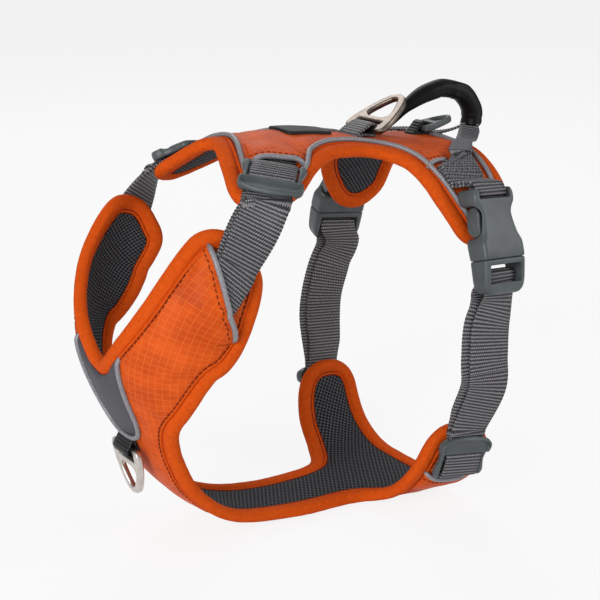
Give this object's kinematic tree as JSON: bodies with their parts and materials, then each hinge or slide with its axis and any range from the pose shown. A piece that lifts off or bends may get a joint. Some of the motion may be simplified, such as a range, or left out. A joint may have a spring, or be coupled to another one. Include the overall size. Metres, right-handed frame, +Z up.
{
  "type": "dog walking harness",
  "caption": "Padded dog walking harness with a back panel, a chest panel, adjustable webbing straps, side-release buckles, leash rings and a grab handle.",
  "frame": {"origin": "middle of the girth opening, inside the dog's chest", "axes": "+Z up, +X towards the dog's tail, +Y to the dog's right"},
  "size_m": [0.2662, 0.1846, 0.2515],
  "materials": {
    "ripstop_shell": "orange ripstop weave",
    "edge_tape": "orange plain-weave binding tape over a soft filler",
    "air_mesh": "dark grey spacer mesh with staggered holes",
    "grey_webbing": "grey ribbed nylon webbing",
    "black_webbing": "black ribbed nylon webbing",
    "reflective_piping": "grey reflective piping",
    "buckle_plastic": "grey moulded acetal, satin",
    "satin_nickel": "satin nickel plate",
    "pale_nickel": "pale satin nickel plate",
    "handle_sleeve": "black padded sleeve, soft sheen",
    "label_rubber": "black soft rubber, bare",
    "badge_fabric": "dark grey woven fabric, bare"
  },
  "bodies": {
    "harness": {"arm_piping_left": "reflective_piping", "arm_piping_right": "reflective_piping", "back_binding": "edge_tape", "back_front_piping": "reflective_piping", "back_lining": "air_mesh", "back_rear_piping": "reflective_piping", "back_ring_webbing": "grey_webbing", "back_shell": "ripstop_shell", "back_side_piping_left": "reflective_piping", "back_side_piping_right": "reflective_piping", "badge_piping": "reflective_piping", "belly_pocket_piping_left": "reflective_piping", "belly_pocket_piping_right": "reflective_piping", "buckle_female_left": "buckle_plastic", "buckle_female_right": "buckle_plastic", "chest_badge": "badge_fabric", "chest_binding": "edge_tape", "chest_lining": "air_mesh", "chest_ring_webbing": "black_webbing", "chest_shell": "ripstop_shell", "girth_strap_left": "grey_webbing", "girth_strap_right": "grey_webbing", "handle_webbing_left": "grey_webbing", "handle_webbing_right": "grey_webbing", "light_loop_webbing": "black_webbing", "neck_pocket_piping_left": "reflective_piping", "neck_pocket_piping_right": "reflective_piping", "neck_strap_left": "grey_webbing", "neck_strap_right": "grey_webbing", "top_label": "label_rubber", "wing_pocket_piping_left": "reflective_piping", "wing_pocket_piping_right": "reflective_piping", "wing_webbing_left": "grey_webbing", "wing_webbing_right": "grey_webbing"},
    "back_ring": {"back_ring": "satin_nickel"},
    "chest_ring": {"chest_ring": "pale_nickel"},
    "light_loop": {"light_loop": "buckle_plastic"},
    "handle": {"handle_sleeve": "handle_sleeve"},
    "male_left": {"buckle_male_left": "buckle_plastic"},
    "prong_front_left": {"buckle_prong_front_left": "buckle_plastic"},
    "prong_rear_left": {"buckle_prong_rear_left": "buckle_plastic"},
    "belly_slider_left": {"belly_slider_left": "buckle_plastic"},
    "neck_slider_left": {"neck_slider_left": "buckle_plastic"},
    "male_right": {"buckle_male_right": "buckle_plastic"},
    "prong_front_right": {"buckle_prong_front_right": "buckle_plastic"},
    "prong_rear_right": {"buckle_prong_rear_right": "buckle_plastic"},
    "belly_slider_right": {"belly_slider_right": "buckle_plastic"},
    "neck_slider_right": {"neck_slider_right": "buckle_plastic"}
  },
  "joints": [
    {"name": "back_ring_hinge", "type": "hinge", "parent": "harness", "child": "back_ring", "pos_m": [0.04507, 0, 0.09899], "axis": [0, -1, 0], "range_deg": [0, 115]},
    {"name": "chest_ring_hinge", "type": "hinge", "parent": "harness", "child": "chest_ring", "pos_m": [-0.11701, 0, -0.0679], "axis": [0, 1, 0], "range_deg": [0, 110]},
    {"name": "light_loop_hinge", "type": "hinge", "parent": "harness", "child": "light_loop", "pos_m": [0.08742, 0, 0.09598], "axis": [0, -1, 0], "range_deg": [0, 20]},
    {"name": "handle_tilt", "type": "hinge", "parent": "harness", "child": "handle", "pos_m": [0.0545, 0, 0.0954], "axis": [0.9998, 0, -0.0197], "range_deg": [-30, 30], "deforming": ["handle_webbing_left", "handle_webbing_right"]},
    {"name": "buckle_release_left", "type": "slide", "parent": "harness", "child": "male_left", "axis": [-0.0368, -0.282, -0.9587], "range_m": [0, 0.036], "deforming": ["girth_strap_left", "buckle_prong_front_left", "buckle_prong_rear_left"]},
    {"name": "prong_front_left_press", "type": "hinge", "parent": "male_left", "child": "prong_front_left", "pos_m": [0.07094, -0.08155, 0.03178], "axis": [-0.1552, 0.9493, -0.2733], "range_deg": [0, 8], "stiffness_Nm_per_rad": 0.02},
    {"name": "prong_rear_left_press", "type": "hinge", "parent": "male_left", "child": "prong_rear_left", "pos_m": [0.09306, -0.07845, 0.03002], "axis": [0.1552, -0.9493, 0.2733], "range_deg": [0, 8], "stiffness_Nm_per_rad": 0.02},
    {"name": "belly_slider_move_left", "type": "slide", "parent": "harness", "child": "belly_slider_left", "axis": [0.0856, -0.2647, 0.9605], "range_m": [-0.012, 0.012], "deforming": ["girth_strap_left"]},
    {"name": "neck_slider_move_left", "type": "slide", "parent": "harness", "child": "neck_slider_left", "axis": [-0.5665, -0.652, -0.5039], "range_m": [-0.008, 0.008], "deforming": ["neck_strap_left"]},
    {"name": "buckle_release_right", "type": "slide", "parent": "harness", "child": "male_right", "axis": [-0.0368, 0.282, -0.9587], "range_m": [0, 0.036], "deforming": ["girth_strap_right", "buckle_prong_front_right", "buckle_prong_rear_right"]},
    {"name": "prong_front_right_press", "type": "hinge", "parent": "male_right", "child": "prong_front_right", "pos_m": [0.07094, 0.08155, 0.03178], "axis": [0.1552, 0.9493, 0.2733], "range_deg": [0, 8], "stiffness_Nm_per_rad": 0.02},
    {"name": "prong_rear_right_press", "type": "hinge", "parent": "male_right", "child": "prong_rear_right", "pos_m": [0.09306, 0.07845, 0.03002], "axis": [-0.1552, -0.9493, -0.2733], "range_deg": [0, 8], "stiffness_Nm_per_rad": 0.02},
    {"name": "belly_slider_move_right", "type": "slide", "parent": "harness", "child": "belly_slider_right", "axis": [0.0856, 0.2647, 0.9605], "range_m": [-0.012, 0.012], "deforming": ["girth_strap_right"]},
    {"name": "neck_slider_move_right", "type": "slide", "parent": "harness", "child": "neck_slider_right", "axis": [-0.5665, 0.652, -0.5039], "range_m": [-0.008, 0.008], "deforming": ["neck_strap_right"]}
  ],
  "couplings": [
    {"joint": "prong_rear_left_press", "follows": "prong_front_left_press", "ratio": 1},
    {"joint": "prong_rear_right_press", "follows": "prong_front_right_press", "ratio": 1}
  ]
}
